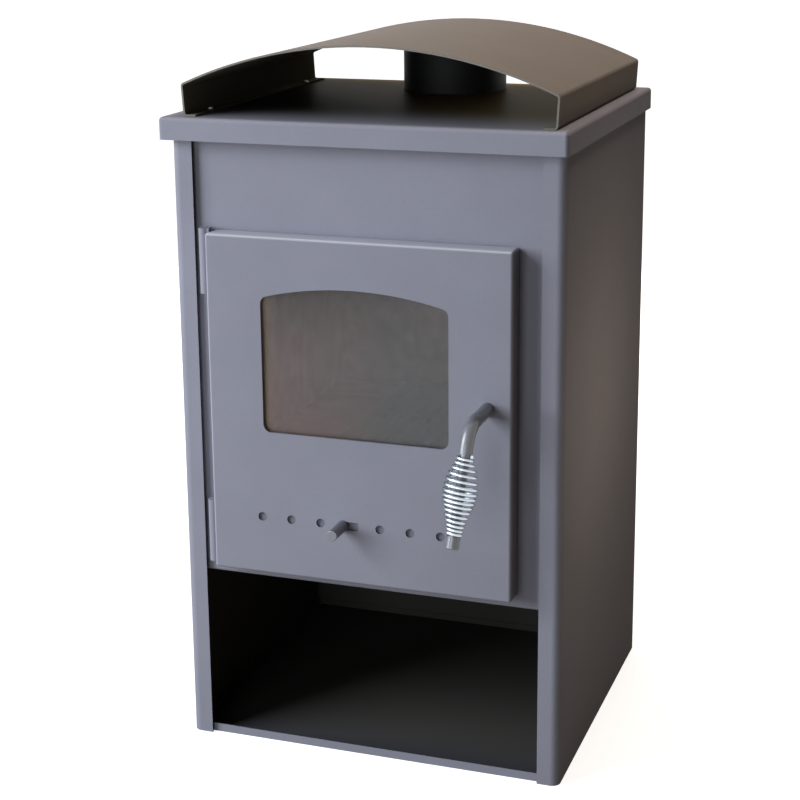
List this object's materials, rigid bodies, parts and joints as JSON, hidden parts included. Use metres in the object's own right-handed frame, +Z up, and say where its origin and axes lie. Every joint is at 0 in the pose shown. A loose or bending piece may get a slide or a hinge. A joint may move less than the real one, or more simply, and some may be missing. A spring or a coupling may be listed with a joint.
{
  "type": "wood stove",
  "caption": "Solid fuel stove with an arched canopy, glazed side-hinged door, coil-grip latch handle, sliding air control and an open log compartment below the firebox.",
  "frame": {"origin": "middle of the base tray's flat underside, on the floor", "axes": "+X to the right as seen from the front, +Y from the door to the back, +Z up"},
  "size_m": [0.4421, 0.5077, 0.7829],
  "materials": {
    "grey_paint": "satin metallic grey heat-resistant paint",
    "black_paint": "matt black heat-resistant paint",
    "cast_iron": "as cast",
    "zinc_steel": "zinc plated",
    "chrome": "bright plated wire",
    "glass": "clear ceramic glass",
    "gasket": "woven glass-fibre rope and tape",
    "firebrick": "dry pressed vermiculite, unglazed"
  },
  "bodies": {
    "casing": {"base_tray": "grey_paint", "side_panel_left": "grey_paint", "side_panel_right": "grey_paint", "back_panel": "grey_paint", "front_panel": "grey_paint", "top_plate": "grey_paint", "canopy": "grey_paint", "hinge_fixed_knuckles": "grey_paint", "compartment_ceiling": "black_paint", "firebox_floor": "black_paint", "firebox_left_wall": "black_paint", "firebox_right_wall": "black_paint", "firebox_back_wall": "black_paint", "firebox_roof": "black_paint", "shelf": "black_paint", "log_guard": "black_paint", "baffle_rails": "black_paint", "baffle": "black_paint", "ash_pan": "black_paint", "ash_pan_handle": "black_paint", "flue_collar": "black_paint", "latch_keeper": "black_paint", "grate": "cast_iron", "back_screws": "zinc_steel", "canopy_screws": "zinc_steel", "flue_bolts": "zinc_steel", "hinge_pins": "zinc_steel", "hinge_washers": "zinc_steel", "flue_seal": "gasket", "firebricks_left": "firebrick", "firebricks_right": "firebrick", "firebricks_back": "firebrick"},
    "door": {"door_skin": "grey_paint", "window_gasket": "gasket", "window_glass": "glass", "glass_clips": "black_paint", "clip_studs": "zinc_steel", "door_rope": "gasket", "rope_retainer": "black_paint", "handle_bush": "zinc_steel", "slider_rails": "black_paint", "hinge_door_knuckles": "grey_paint"},
    "air_control": {"air_slider": "black_paint", "air_knob": "grey_paint"},
    "handle": {"handle_rod": "grey_paint", "handle_spring": "chrome", "latch_spacer": "zinc_steel", "latch_cam": "zinc_steel", "latch_washer": "zinc_steel", "latch_nut": "zinc_steel"}
  },
  "joints": [
    {"name": "door_hinge", "type": "hinge", "parent": "casing", "child": "door", "pos_m": [-0.178, -0.1955, 0.4], "axis": [0, 0, -1], "range_deg": [0, 110]},
    {"name": "air_slide", "type": "slide", "parent": "door", "child": "air_control", "axis": [1, 0, 0], "range_m": [0, 0.013]},
    {"name": "handle_turn", "type": "hinge", "parent": "door", "child": "handle", "pos_m": [0.14, -0.211, 0.4205], "axis": [0, -1, 0], "range_deg": [0, 90]}
  ]
}
